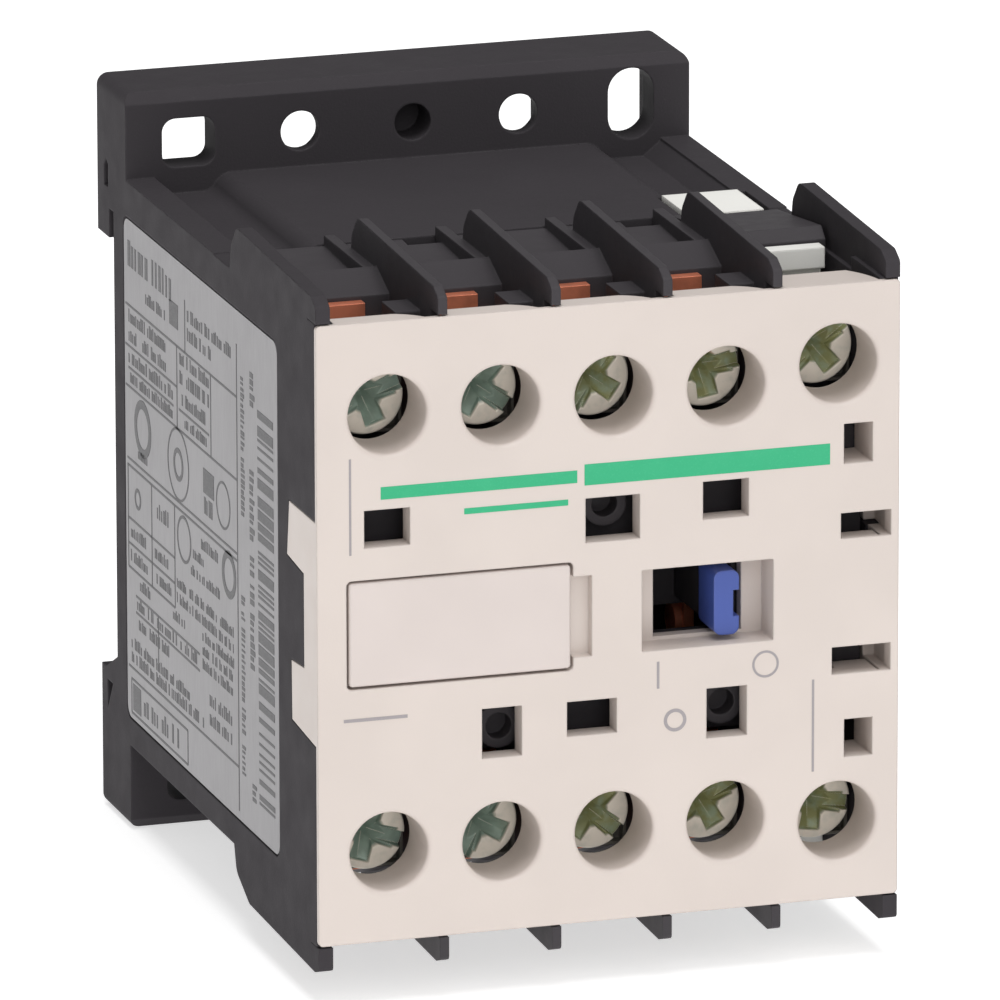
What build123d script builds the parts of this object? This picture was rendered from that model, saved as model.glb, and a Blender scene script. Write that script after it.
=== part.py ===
from build123d import *
import os

os.makedirs("parts", exist_ok=True)

# ---------------------------------------------------------------------------
# Frame: millimetres, +Z up, the front faces -Y, the rear plane is y = 0.
# The origin is the centre of the base on the plane that touches the panel.
# ---------------------------------------------------------------------------

# overall body
HALF_WIDTH = 22.5          # half of the 45 mm module width
HALF_HEIGHT = 29.0         # half of the 58 mm base
FLANGE_Y = -7.7            # front face of the mounting flange
FLANGE_SKIN = 2.8          # thickness of the flange's front plate
FLANGE_WALL = 1.5          # walls around the rear pockets of the flange
BODY_HALF = 22.4           # half height of the body behind the terminals
DECK_END_Y = -31.0         # where the base's roof stops
WALL = 1.4                 # side walls of the base
WALL_FRONT_Y = -56.55      # front edge of the side walls, under the cover's rim
FRONT_Y = -57.0            # front face of the cover and of the barrier fins
CHAMBER_HALF_Z = 19.5      # half height of the magnet chamber
CHAMBER_REAR_Y = -5.8      # rear wall of the magnet chamber

# rail channel
CHANNEL_FLOOR_Y = -4.3
CHANNEL_TOP = 16.8
CHANNEL_BOTTOM = -16.1
HOOK_GROOVE_TOP = 19.1     # top of the undercut that takes the rail's upper edge
HOOK_LIP_Y = -3.1          # front face of the lip behind the rail's edge

# fixing holes in the flange
SLOT_LEFT = (-17.5, 25.0, 4.2, 3.8)     # x, z, width, height
SLOT_LEFT_R = 1.05                      # its corners are rounded, not full round ends
SLOT_RIGHT = (17.8, 25.3, 3.7, 5.6)
ROUND_HOLE_R = 1.55
ROUND_HOLE_X = (-8.65, 8.75)
ROUND_HOLE_Z = 25.2
BLIND_HOLE_R = 1.45
BLIND_HOLE_X = 0.3

# terminals
COLUMNS = (-17.0, -8.3, 0.4, 9.1, 17.8)
FIN_X = (-12.8, -4.1, 4.5, 13.0)
FIN_HALF = 0.35
OUTER_FIN = 1.1            # thickness of the fins on the side walls
FIN_SHOULDER_R = 1.2
FIN_FRONT_R = 0.4
POLE_SCREW_Z = (16.1, -17.2)
COIL_SCREW_Z = (17.1, -18.0)
ACCESS_R = 3.0             # screwdriver access hole
HEAD_R = 2.8
HEAD_EDGE_R = 0.3          # rounding of the head's front edge
HEAD_FRONT_Y = -51.4
HEAD_REAR_Y = -49.25
RECESS_WIDTH = 0.9         # driver slot across the head
RECESS_DEPTH = 0.8
SHANK_R = 1.75
SHANK_END_Y = -41.0
THREAD_CLEARANCE = 0.05
CUP_HALF = 3.15            # square cup washer under the screw head
CUP_FRONT_Y = -50.1
CUP_FLOOR_Y = -49.2
CUP_REAR_Y = -48.3
CUP_INNER_HALF = 2.92
PLATE_FRONT_Y = -46.05     # terminal plates, seen in front of the shrouds
PLATE_REAR_Y = -45.05
PLATE_TOP = 21.7
PLATE_STEP_Z = 20.1        # above this the plate is cut back to its left part
PLATE_STEP_X = 1.65
RECESS_ANGLES = (20, -35, 55, 10, 38, -18, 62, -40, 28, -8)

# contacts
STRIP_LEFT = -3.3          # offsets from a column's centre line
STRIP_THICK = 0.8
TIP_R = 1.3
TIP_HEIGHT = 0.6
TIP_Y = -41.1
TIP_Z = 6.0
BRIDGE_X = 1.42            # rear face of a bridge's tips, from the column centre
BRIDGE_THICK = 0.8
BRIDGE_HALF_Y = 1.5
BRIDGE_HALF_Z = 7.6
WINDOW_END = 5.4           # right end of a carrier window, from the column centre

# moving carrier
STROKE = 3.6
CARRIER_LEFT = -17.3
CARRIER_RIGHT = 20.2
CARRIER_HALF_Z = 3.5
CARRIER_FRONT_Y = -45.5
CARRIER_REAR_Y = -33.5
SPRING_BORE_Y = -36.2
TAB_X = (8.43, 10.38)
TAB_Z = (-3.15, 1.77)
TAB_FRONT_Y = -56.0
TAB_REAR_Y = -52.4         # the tab is a cap on the carrier's stem
STEM_INSET = 0.35          # the stem is this much thinner than the tab all round
STEM_FRONT_Y = -53.4

# electromagnet, coil axis along X
COIL_Y = -17.5
LEG_HALF_Y = 4.5
CENTRE_LEG_HALF = 4.2
OUTER_LEG = (14.8, 18.6)
CORE_BACK = (-20.9, -17.0)
CORE_LEG_END = -2.0
ARMATURE_BACK = (16.4, 20.6)
ARMATURE_LEG_END = 1.7
FLANGE_X = (11.0, 12.5)    # bobbin flanges
ARM_X = (14.4, 20.4)       # the bobbin's two terminal arms
TAIL_X = (19.8, 20.7)      # coil terminal tails, beside the screw shanks

# front cover
COVER_TOP = 23.2
COVER_BOTTOM = -24.0
RIM_Y = -56.6
COVER_REAR_Y = -55.2
COVER_INNER_HALF = 21.0
BOSS_R = 3.75
LIP_Z = 21.7               # the lips over the terminal pockets start at this height
POLE_LIP_Y = -55.1         # rear edges of those lips
COIL_LIP_Y = -53.3
MOUTH_FILLET = 0.4         # rounding at the mouth of each access hole
BOSS_REAR_Y = -52.2
INNER_WALL_Y = -52.8       # rear ends of the walls beside the corner windows
MARKER = (-20.05, -3.0, -4.36, 3.54)    # x0, x1, z0, z1
MARKER_REAR_Y = -55.95
MARKER_GAP = 0.2            # groove round the marker plate
INDICATOR = (2.51, 12.73, -3.6, 2.65)
INDICATOR_INNER = (4.27, 11.12, -3.34, 2.45)
INDICATOR_FLOOR_Y = -54.2


def block(x, y, z):
    """Box from three pairs of limits."""
    size = [abs(b - a) for a, b in (x, y, z)]
    centre = [(a + b) / 2 for a, b in (x, y, z)]
    return Pos(*centre) * Box(*size)


def round_y(x, z, r, y):
    """Cylinder along Y between two y values."""
    return Pos(x, (y[0] + y[1]) / 2, z) * Rot(90, 0, 0) * Cylinder(r, abs(y[1] - y[0]))


def round_x(y, z, r, x):
    """Cylinder along X between two x values."""
    return Pos((x[0] + x[1]) / 2, y, z) * Rot(0, 90, 0) * Cylinder(r, abs(x[1] - x[0]))


def round_z(x, y, r, z):
    """Cylinder along Z between two z values."""
    return Pos(x, y, (z[0] + z[1]) / 2) * Cylinder(r, abs(z[1] - z[0]))


def side_plate(points, x):
    """Plate between two x values whose outline is given as (y, z) points."""
    outline = Plane.YZ * make_face(Polyline(*points, close=True))
    return Pos(x[0], 0, 0) * extrude(outline, amount=x[1] - x[0], dir=(1, 0, 0))


def front_slab(x, z, r, y):
    """Rounded rectangle in the front view between two y values."""
    outline = RectangleRounded(x[1] - x[0], z[1] - z[0], r)
    slab = extrude(Plane.XZ * outline, amount=abs(y[1] - y[0]), dir=(0, -1, 0))
    return Pos((x[0] + x[1]) / 2, max(y), (z[0] + z[1]) / 2) * slab


def obround(x, z, width, height, y):
    """Slot with round ends in the front view between two y values."""
    r = min(width, height) / 2 - 0.001
    return front_slab((x - width / 2, x + width / 2), (z - height / 2, z + height / 2), r, y)


def spring_x(x, y, z, radius, wire, turns):
    """Round wire coil along X that fills the length between two x values."""
    length = x[1] - x[0]
    pitch = (length - 2 * wire) / turns
    path = Helix(pitch=pitch, height=length - 2 * wire, radius=radius - wire)
    coil = sweep(Plane(origin=path @ 0, z_dir=path % 0) * Circle(wire), path=path)
    return Pos(x[0] + wire, y, z) * Rot(0, 90, 0) * coil


# ---------------------------------------------------------------------------
# barrier fins
# ---------------------------------------------------------------------------

def fin_outline(up):
    """Outline of one barrier fin, (y, z) points, above or below the body."""
    if up:
        return [(-34.0, 20.0), (-35.2, 22.3), (-35.6, 24.2), (-37.0, 25.85), (-55.8, 25.25),
                (FRONT_Y, 24.6), (FRONT_Y, 23.35), (-55.0, 23.35), (-55.0, 20.0)]
    return [(-34.0, -20.0), (-35.3, -22.2), (-35.9, -24.2), (-39.2, -25.8), (-56.0, -26.2),
            (FRONT_Y, -25.85), (FRONT_Y, -24.15), (-55.0, -24.15), (-55.0, -20.0)]


def fin(x, up):
    """One fin with a round rear shoulder and a slightly rounded front corner."""
    plate = side_plate(fin_outline(up), x)
    for rear, lowest, radius in ((True, 24.0, FIN_SHOULDER_R), (False, 24.4, FIN_FRONT_R)):
        corners = [e for e in plate.edges().filter_by(Axis.X)
                   if abs(e.center().Z) > lowest and e.center().Y < -35.5
                   and (e.center().Y > -45.0) == rear]
        plate = fillet(corners, radius)
    return plate


# ---------------------------------------------------------------------------
# base housing
# ---------------------------------------------------------------------------

def trough(side, up):
    """Shallow gutter beside the raised roof, with a curved inner shoulder."""
    roof = up * (BODY_HALF + 0.5)
    floor = up * 21.05
    crest = up * BODY_HALF
    shoulder = Line((side * 14.3, roof), (side * 14.3, crest))
    curve_a = ThreePointArc((side * 14.3, crest), (side * 15.0, up * 22.1), (side * 15.4, up * 21.7))
    curve_b = ThreePointArc((side * 15.4, up * 21.7), (side * 15.8, up * 21.25), (side * 16.5, floor))
    bottom = Polyline((side * 16.5, floor), (side * 18.8, floor), (side * 20.2, up * 22.2),
                      (side * 20.2, roof), (side * 14.3, roof))
    face = make_face(Curve() + [shoulder, curve_a, curve_b, bottom])
    length = FLANGE_Y - DECK_END_Y
    cut = extrude(Plane.XZ * face, amount=length + 0.1, dir=(0, -1, 0))
    return Pos(0, FLANGE_Y, 0) * cut


def cover_skirt(x, gap):
    """Side skirt of the cover with its two clip tabs; gap widens it into a notch."""
    points = [(-56.6 - gap, 8.3 + gap), (-50.1 + gap, 8.3 + gap), (-49.5 + gap, 4.1 - gap),
              (-53.7 + gap, 3.7 - gap), (-53.7 + gap, -3.5 + gap), (-50.5 + gap, -3.75 + gap),
              (-50.6 + gap, -8.25 - gap), (-56.6 - gap, -8.75 - gap)]
    return side_plate(points, x)


def rail_channel():
    """Space for the 35 mm rail, with the undercut behind the fixed upper hook."""
    across = (-HALF_WIDTH - 1, HALF_WIDTH + 1)
    space = block(across, (CHANNEL_FLOOR_Y, 1), (CHANNEL_BOTTOM, CHANNEL_TOP))
    space += block(across, (CHANNEL_FLOOR_Y, HOOK_LIP_Y), (CHANNEL_TOP - 1, HOOK_GROOVE_TOP))
    ramp = [(CHANNEL_FLOOR_Y, CHANNEL_BOTTOM), (CHANNEL_FLOOR_Y, CHANNEL_BOTTOM + 1),
            (1, CHANNEL_BOTTOM + 1), (1, -17.7), (-1.3, -17.6)]
    return space + side_plate(ramp, across)


def flange_pockets():
    """Open pockets in the rear of the flange, behind its front plate."""
    deep = (FLANGE_Y + FLANGE_SKIN, 1)
    outer = HALF_WIDTH - FLANGE_WALL
    top = (20.6, HALF_HEIGHT - FLANGE_WALL)
    bottom = (-HALF_HEIGHT + FLANGE_WALL, -19.3)
    pockets = [block((a, b), deep, top) for a, b in
               ((-outer, -13.2), (-12.2, -2.6), (3.2, 12.2), (13.2, outer))]
    pockets += [block((a, b), deep, bottom) for a, b in
                ((-outer, -13.2), (-12.2, -6.6), (6.6, 12.2), (13.2, outer))]
    return pockets


def flange_holes():
    """Fixing slots, plain holes and blind centre holes in the flange's plate."""
    through = (FLANGE_Y - 1, FLANGE_Y + FLANGE_SKIN + 0.5)
    cuts = []
    for up in (1, -1):
        x, z, width, height = SLOT_LEFT
        cuts.append(front_slab((x - width / 2, x + width / 2),
                               (up * z - height / 2, up * z + height / 2), SLOT_LEFT_R, through))
        x, z, width, height = SLOT_RIGHT
        cuts.append(obround(x, up * z, width, height, through))
        for x in ROUND_HOLE_X:
            cuts.append(round_y(x, up * ROUND_HOLE_Z, ROUND_HOLE_R, through))
            cuts.append(round_y(x, up * ROUND_HOLE_Z, 2.2, (FLANGE_Y + 1.1, FLANGE_Y + FLANGE_SKIN + 0.5)))
        cuts.append(round_y(BLIND_HOLE_X, up * ROUND_HOLE_Z, BLIND_HOLE_R, (FLANGE_Y - 1, -4.5)))
    return cuts


def base_housing():
    """Black base: mounting flange, rail channel, magnet chamber and side walls."""
    plate = front_slab((-HALF_WIDTH, HALF_WIDTH), (-HALF_HEIGHT, HALF_HEIGHT), 0.9, (0, FLANGE_Y))
    for up in (1, -1):
        bevel = [(FLANGE_Y - 0.2, up * (HALF_HEIGHT - 1.0)), (FLANGE_Y + 1.2, up * (HALF_HEIGHT + 0.4)),
                 (FLANGE_Y - 0.2, up * (HALF_HEIGHT + 0.4))]
        plate -= side_plate(bevel, (-HALF_WIDTH - 1, HALF_WIDTH + 1))
    body = plate + block((-HALF_WIDTH, HALF_WIDTH), (DECK_END_Y, -1), (-22.2, BODY_HALF))
    for side in (-1, 1):
        wall = sorted((side * HALF_WIDTH, side * (HALF_WIDTH - WALL)))
        body += block(wall, (WALL_FRONT_Y, DECK_END_Y + 1), (-22.2, 22.3))
        body += block(wall, (WALL_FRONT_Y, -50.0), (-24.1, 23.3))
        plate = sorted((side * HALF_WIDTH, side * (HALF_WIDTH - OUTER_FIN)))
        body += fin(plate, True) + fin(plate, False)
    body -= block((-HALF_WIDTH + WALL, HALF_WIDTH - WALL), (DECK_END_Y - 1, CHAMBER_REAR_Y),
                  (-CHAMBER_HALF_Z, CHAMBER_HALF_Z))
    for up in (1, -1):
        for side in (1, -1):
            body -= trough(side, up)
        arm_way = block((ARM_X[0] - 0.3, HALF_WIDTH - WALL), (DECK_END_Y - 1, -25.3),
                        (up * 18.0, up * 23.5))
        body -= arm_way
    body -= rail_channel()
    for cut in flange_pockets() + flange_holes():
        body -= cut
    body -= block((-5.3, 5.3), (-3.4, -1.0), (-HALF_HEIGHT - 1, CHANNEL_BOTTOM + 1))
    body -= block((-4.2, 4.2), (-1.5, 1.0), (-HALF_HEIGHT - 1, CHANNEL_BOTTOM + 1))
    body += block((-1.6, 1.6), (-3.5, -1.4), (-25.4, -24.4))
    for x in ((-HALF_WIDTH - 1, -HALF_WIDTH + WALL + 0.1), (HALF_WIDTH - WALL - 0.1, HALF_WIDTH + 1)):
        body -= cover_skirt(x, 0.08)
    label_bed = side_slab((-HALF_WIDTH - 1, -HALF_WIDTH + 0.14), (-47.25, -6.85), (-20.05, 19.6))
    body -= label_bed
    for side in (1, -1):
        skin = sorted((side * (HALF_WIDTH + 1), side * (HALF_WIDTH - 0.8)))
        body -= side_plate([(-2.9, 20.7), (-2.9, 22.5), (-2.4, 22.9), (-1.8, 22.3), (-1.8, 20.7)], skin)
        body -= side_plate([(-3.0, -18.6), (-1.5, -18.6), (-1.5, -21.0)], skin)
    return body


def side_slab(x, y, z):
    """Rounded rectangle in the side view between two x values."""
    outline = RectangleRounded(y[1] - y[0], z[1] - z[0], 1.0)
    slab = extrude(Plane.YZ * outline, amount=x[1] - x[0], dir=(1, 0, 0))
    return Pos(x[0], (y[0] + y[1]) / 2, (z[0] + z[1]) / 2) * slab


# ---------------------------------------------------------------------------
# contact housing
# ---------------------------------------------------------------------------

CELL_LEFT = HALF_WIDTH - WALL - 0.1     # the housing fits between the side walls
POCKET_Z = 10.2                         # inner wall of the terminal pockets
SHROUD_Y = -45.0                        # front face of the terminal shrouds
FACE_WALL_Y = (-52.6, -51.4)            # wall in front of the contact cells
# round latch bosses that stand on that wall: x, z
RING_BOSSES = ((0.5, 7.2), (-7.7, -9.1), (9.6, -8.8))


def shroud(x, up):
    """Block behind a terminal with a sunk panel, a crest and a sloping front."""
    points = [(-31.1, POCKET_Z), (-31.1, 22.3), (-37.5, 22.0), (-38.8, 22.0), (-41.8, 23.3),
              (SHROUD_Y, 22.0), (SHROUD_Y, POCKET_Z)]
    return side_plate([(y, up * z) for y, z in points], x)


def coil_shroud(up):
    """Lower block and roof at the coil terminals, with the bobbin's arm between."""
    x = (FIN_X[3], CELL_LEFT)
    base = side_plate([(y, up * z) for y, z in
                       ((-31.1, POCKET_Z), (-31.1, 19.0), (SHROUD_Y, 19.0), (SHROUD_Y, POCKET_Z))], x)
    roof = [(-32.0, 22.1), (-32.0, 22.7), (-43.4, 24.1), (-44.4, 23.3), (-44.4, 22.1)]
    return base + side_plate([(y, up * z) for y, z in roof], x)


def contact_housing():
    """Dark moulding between the side walls: cells, fins, shrouds and pockets."""
    body = block((-CELL_LEFT, CELL_LEFT), FACE_WALL_Y, (-POCKET_Z - 1.0, POCKET_Z + 1.0))
    edges = (-CELL_LEFT,) + FIN_X
    for up in (1, -1):
        for left, right in zip(edges[:4], edges[1:]):
            body += shroud((left, right), up)
        body += coil_shroud(up)
        inner = sorted((up * POCKET_Z, up * (POCKET_Z + 1.0)))
        body += block((-CELL_LEFT, CELL_LEFT), (-52.0, -40.0), inner)
    for x in FIN_X:
        wall = (x - FIN_HALF, x + FIN_HALF)
        body += block(wall, (-52.0, -31.1), (-22.0, 22.0))
        for up in (1, -1):
            body += fin(wall, up > 0)
            body += block(wall, (-55.0, -45.0), sorted((up * 21.5, up * 23.3)))
            rib = (x - FIN_HALF - 0.8, x - FIN_HALF)
            body += block(rib, (-41.8, -31.1), sorted((up * 21.0, up * 23.1)))
            foot = (x - FIN_HALF - 1.9, x - FIN_HALF)
            body += block(foot, (-52.6, -49.2), sorted((up * 21.3, up * 22.6)))
    for up in (1, -1):
        for index in (1, 3):
            right = FIN_X[index] - FIN_HALF - 0.8
            body -= block((right - 2.6, right), (-32.6, -30.0), sorted((up * 20.8, up * 24.0)))
        body -= block((ARM_X[0] - 0.3, CELL_LEFT + 1), (-33.1, -31.0), sorted((up * 18.9, up * 24.0)))
    for index, x in enumerate(COLUMNS):
        rows = POLE_SCREW_Z if index < 4 else COIL_SCREW_Z
        for z in rows:
            body -= round_y(x, z, SHANK_R + 0.4, (SHROUD_Y - 0.5, -38.4))
            up = 1 if z > 0 else -1
            slot = sorted((up * 9.5, up * (14.0 + 0.2)))
            if index < 4:
                flange = (x + STRIP_LEFT - 0.15, x + STRIP_LEFT + STRIP_THICK + 0.15)
                body -= block(flange, (-46.5, -39.1), slot)
    body -= block((-CELL_LEFT - 1, CELL_LEFT + 1), (-46.0, -33.0), (-3.8, 3.8))
    body -= block((-CELL_LEFT - 1, CELL_LEFT + 1), (-33.2, -30.0), (-POCKET_Z, POCKET_Z))
    body -= block((TAB_X[0] - STROKE - 0.4, TAB_X[1] + 0.5), (FACE_WALL_Y[0] - 1, -45.9),
                  (TAB_Z[0] - 0.5, TAB_Z[1] + 0.5))
    for x, z in RING_BOSSES:
        body += round_y(x, z, 1.7, (-54.2, FACE_WALL_Y[0] + 0.1)) - round_y(x, z, 1.0, (-55, FACE_WALL_Y[0]))
    return body


def dividing_plate():
    """Plate that closes the contact cells from the rear, slotted for the carrier's leg."""
    plate = block((-CELL_LEFT, CELL_LEFT), (-33.1, -31.3), (-POCKET_Z + 0.1, POCKET_Z - 0.1))
    return plate - block((12.7, 20.8), (-34.0, -30.0), (-3.8, 3.8))


# ---------------------------------------------------------------------------
# front cover and small outer pieces
# ---------------------------------------------------------------------------

# small windows through the cover: x0, x1, z0, z1
PLAIN_WINDOWS = (
    (-18.87, -15.35, 6.15, 9.0), (-1.86, 2.35, 5.1, 8.5), (7.23, 10.8, 6.1, 9.0),
    (-9.87, -6.78, -10.7, -6.87), (-3.3, 0.57, -9.6, -6.93), (7.53, 10.68, -10.7, -6.86),
)
CORNER_WINDOWS = ((18.18, 20.44, 9.45, 12.5), (18.28, 20.5, -13.1, -10.18))
SKIRT_WINDOWS = ((17.97, 21.9, 3.7, 5.68), (17.3, 21.9, -6.67, -4.57))


def pocket_lip(left, bend, right, rear_y, up):
    """Lip over a terminal pocket: straight at the rear, then curving forward to the rim."""
    outline = Polyline((right, RIM_Y - 0.1), (left, RIM_Y - 0.1), (left, rear_y), (bend, rear_y))
    middle = (bend + 0.5 * (right - bend), rear_y - 0.35 * (rear_y - RIM_Y))
    face = make_face(Curve() + [outline, ThreePointArc((bend, rear_y), middle, (right, RIM_Y - 0.1))])
    low, high = sorted((up * LIP_Z, COVER_TOP if up > 0 else COVER_BOTTOM))
    return Pos(0, 0, low) * extrude(face, amount=high - low, dir=(0, 0, 1))


def front_cover():
    """Cream cover: thin rim over the side walls, access tubes and windows."""
    rim = front_slab((-HALF_WIDTH, HALF_WIDTH), (COVER_BOTTOM, COVER_TOP), 0.35, (RIM_Y, FRONT_Y))
    body = rim + block((-COVER_INNER_HALF, COVER_INNER_HALF), (RIM_Y - 0.2, COVER_REAR_Y), (-LIP_Z, LIP_Z))
    body += block((MARKER[0] - 0.9, MARKER[1] + 2.6), (COVER_REAR_Y - 0.2, -54.3),
                  (MARKER[2] - 1.0, MARKER[3] + 1.0))
    for x0, x1, z0, z1 in CORNER_WINDOWS:
        body += block((x0 - 0.5, COVER_INNER_HALF), (COVER_REAR_Y - 0.2, INNER_WALL_Y), (z0 - 0.6, z1 + 0.6))
    for side in ((-HALF_WIDTH, -HALF_WIDTH + WALL - 0.1), (HALF_WIDTH - WALL + 0.1, HALF_WIDTH)):
        body += cover_skirt(side, 0)
    cup = (INDICATOR[0] - 0.9, INDICATOR[1] + 0.9), (INDICATOR[2] - 0.9, INDICATOR[3] + 0.9)
    body += block(cup[0], (COVER_REAR_Y - 0.2, -53.2), cup[1])
    for index, x in enumerate(COLUMNS):
        rows = POLE_SCREW_Z if index < 4 else COIL_SCREW_Z
        for z in rows:
            up = 1 if z > 0 else -1
            tube = round_y(x, z, BOSS_R, (COVER_REAR_Y - 0.2, BOSS_REAR_Y))
            body += tube & block((x - 4.0, x + 3.2), (-56, -50), (-30, 30))
            if index < 4:
                body += pocket_lip(x - 4.0, x + 0.9, x + 3.0, POLE_LIP_Y, up)
            else:
                body += pocket_lip(x - 4.3, x + 1.7, COVER_INNER_HALF, COIL_LIP_Y, up)
    for index, x in enumerate(COLUMNS):
        for z in POLE_SCREW_Z if index < 4 else COIL_SCREW_Z:
            body -= round_y(x, z, ACCESS_R, (FRONT_Y - 1, BOSS_REAR_Y + 1))
    mouths = [e for e in body.edges().filter_by(GeomType.CIRCLE)
              if abs(e.radius - ACCESS_R) < 0.01 and e.center().Y < FRONT_Y + 0.01]
    body = fillet(mouths, MOUTH_FILLET)
    for x0, x1, z0, z1 in PLAIN_WINDOWS + CORNER_WINDOWS + SKIRT_WINDOWS:
        body -= block((x0, x1), (FRONT_Y - 1, INNER_WALL_Y + 0.1), (z0, z1))
    for x0, x1, z0, z1 in SKIRT_WINDOWS:
        body -= block((x1 - 0.5, x1 + 0.2), (COVER_REAR_Y - 0.2, INNER_WALL_Y + 0.1), (z0, z1))
    x0, x1, z0, z1 = SKIRT_WINDOWS[1]
    body += block((x0 + 0.8, COVER_INNER_HALF), (COVER_REAR_Y - 0.2, -53.6), (z0 - 0.6, z0))
    body -= front_slab((INDICATOR[0], INDICATOR[1]), (INDICATOR[2], INDICATOR[3]), 0.12,
                       (FRONT_Y - 1, INDICATOR_FLOOR_Y))
    body -= block(INDICATOR_INNER[:2], (FRONT_Y - 1, -52.0), INDICATOR_INNER[2:])
    x0, x1, z0, z1 = MARKER
    gap = MARKER_GAP
    body -= front_slab((x0 - gap, x1 + gap), (z0 - gap, z1 + gap), 0.4, (FRONT_Y - 1, MARKER_REAR_Y + 0.05))
    body -= block((x1, -1.36), (FRONT_Y - 1, -56.1), (-3.57, 2.62))
    for x in (-17.5, -5.6):
        body -= block((x - 0.7, x + 0.7), (FRONT_Y - 1, -53.0), (-2.1, 1.3))
    return body


def marker_plate():
    """Clip-in marker plate with two sprung legs."""
    x0, x1, z0, z1 = MARKER
    plate = front_slab((x0, x1), (z0, z1), 0.3, (FRONT_Y, MARKER_REAR_Y))
    plate = chamfer([e for e in plate.edges() if e.center().Y < FRONT_Y + 0.01], 0.12)
    for x in (-17.5, -5.6):
        plate += block((x - 0.5, x + 0.5), (MARKER_REAR_Y - 0.2, -53.6), (-1.8, 1.0))
    return plate


def side_label():
    """Printed rating label on the left side wall."""
    return side_slab((-HALF_WIDTH + 0.02, -HALF_WIDTH + 0.13), (-47.1, -7.0), (-19.9, 19.45))


def din_latch():
    """Sliding catch behind the rail's lower edge, with a pull slot at its foot."""
    plate = block((-5.0, 5.0), (-3.2, -1.2), (-28.7, -16.6))
    nose = side_plate([(-3.2, -16.7), (-3.2, -15.0), (-2.6, -15.0), (-1.2, -16.2), (-1.2, -16.7)], (-5.0, 5.0))
    body = plate + nose
    body -= block((-2.1, 2.1), (-4, 0), (-26.9, -18.0))
    body -= block((-2.0, 2.0), (-2.4, 0), (-28.3, -27.5))
    return body


def latch_spring():
    """Compression spring that holds the catch up against the rail."""
    length = 6.4
    wire = 0.2
    path = Helix(pitch=(length - 2 * wire) / 6, height=length - 2 * wire, radius=0.7)
    coil = sweep(Plane(origin=path @ 0, z_dir=path % 0) * Circle(wire), path=path)
    return Pos(0, -2.2, -24.4 + wire) * coil


# ---------------------------------------------------------------------------
# moving carrier and contacts
# ---------------------------------------------------------------------------

def inset(limits, amount):
    """Pair of limits moved in by an amount at both ends."""
    return (limits[0] + amount, limits[1] - amount)


def contact_carrier():
    """Dark slide: a window per pole, the armature's leg and the stem of the tab."""
    body = block((CARRIER_LEFT, CARRIER_RIGHT), (CARRIER_FRONT_Y, CARRIER_REAR_Y),
                 (-CARRIER_HALF_Z, CARRIER_HALF_Z))
    body += block((16.6, CARRIER_RIGHT), (CARRIER_REAR_Y - 1, -20.1), (-3.4, 3.4))
    body += block(inset(TAB_X, STEM_INSET), (STEM_FRONT_Y, CARRIER_FRONT_Y + 1), inset(TAB_Z, STEM_INSET))
    for x in COLUMNS[:4]:
        body -= block((x + 1.4, x + WINDOW_END), (TIP_Y - 1.7, TIP_Y + 1.7), (-5, 5))
    body -= round_x(SPRING_BORE_Y, 0, 1.9, (CARRIER_LEFT - 1, -11.3))
    body -= round_z(18.4, -21.8, 0.92, (-6, 6))
    return body


def indicator_tab():
    """Blue cap on the carrier's stem, seen in the cover's indicator window."""
    tab = block(TAB_X, (TAB_FRONT_Y, TAB_REAR_Y), TAB_Z)
    tab = fillet(tab.edges().filter_by(Axis.Y), 0.6)
    tab -= block((TAB_X[1] - 0.45, TAB_X[1] + 1), (TAB_FRONT_Y - 1, STEM_FRONT_Y - 0.6), (-1.77, 0.23))
    socket = block(inset(TAB_X, STEM_INSET - 0.02), (STEM_FRONT_Y - 0.02, TAB_REAR_Y + 1),
                   inset(TAB_Z, STEM_INSET - 0.02))
    return tab - socket


def bridge(x):
    """Moving contact bar of one pole with a silver tip at each end."""
    bar = block((x + BRIDGE_X, x + BRIDGE_X + BRIDGE_THICK),
                (TIP_Y - BRIDGE_HALF_Y, TIP_Y + BRIDGE_HALF_Y), (-BRIDGE_HALF_Z, BRIDGE_HALF_Z))
    bar = fillet(bar.edges().filter_by(Axis.X), 0.6)
    for z in (-TIP_Z, TIP_Z):
        bar += round_x(TIP_Y, z, TIP_R, (x + BRIDGE_X - TIP_HEIGHT, x + BRIDGE_X + 0.1))
    return bar


def contact_spring(x):
    """Spring between a bridge and the end of its window."""
    return spring_x((x + BRIDGE_X + BRIDGE_THICK + 0.01, x + WINDOW_END - 0.01), TIP_Y, 0, 1.3, 0.18, 4)


def return_spring():
    """Spring that pushes the carrier back to its rest position."""
    return spring_x((-HALF_WIDTH + WALL + 0.02, -11.32), SPRING_BORE_Y, 0, 1.6, 0.22, 8)


def fixed_contact(x, z):
    """Folded strip: tapped terminal plate, side flange and silver tip."""
    up = 1 if z > 0 else -1
    inner = up * (abs(z) - 3.8)
    plate = block((x + STRIP_LEFT, x + 3.0), (PLATE_FRONT_Y, PLATE_REAR_Y),
                  sorted((inner, up * PLATE_TOP)))
    flange = block((x + STRIP_LEFT, x + STRIP_LEFT + STRIP_THICK), (PLATE_FRONT_Y, TIP_Y + 1.7),
                   sorted((up * 4.4, up * 14.0)))
    body = plate + flange
    body -= block((x + PLATE_STEP_X, x + 4.0), (PLATE_FRONT_Y - 1, PLATE_REAR_Y + 1),
                  sorted((up * PLATE_STEP_Z, up * 25.0)))
    body -= round_y(x, z, SHANK_R + THREAD_CLEARANCE, (PLATE_FRONT_Y - 1, PLATE_REAR_Y + 1))
    tip_left = x + STRIP_LEFT + STRIP_THICK
    return body + round_x(TIP_Y, up * TIP_Z, TIP_R, (tip_left - 0.1, tip_left + TIP_HEIGHT))


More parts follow.
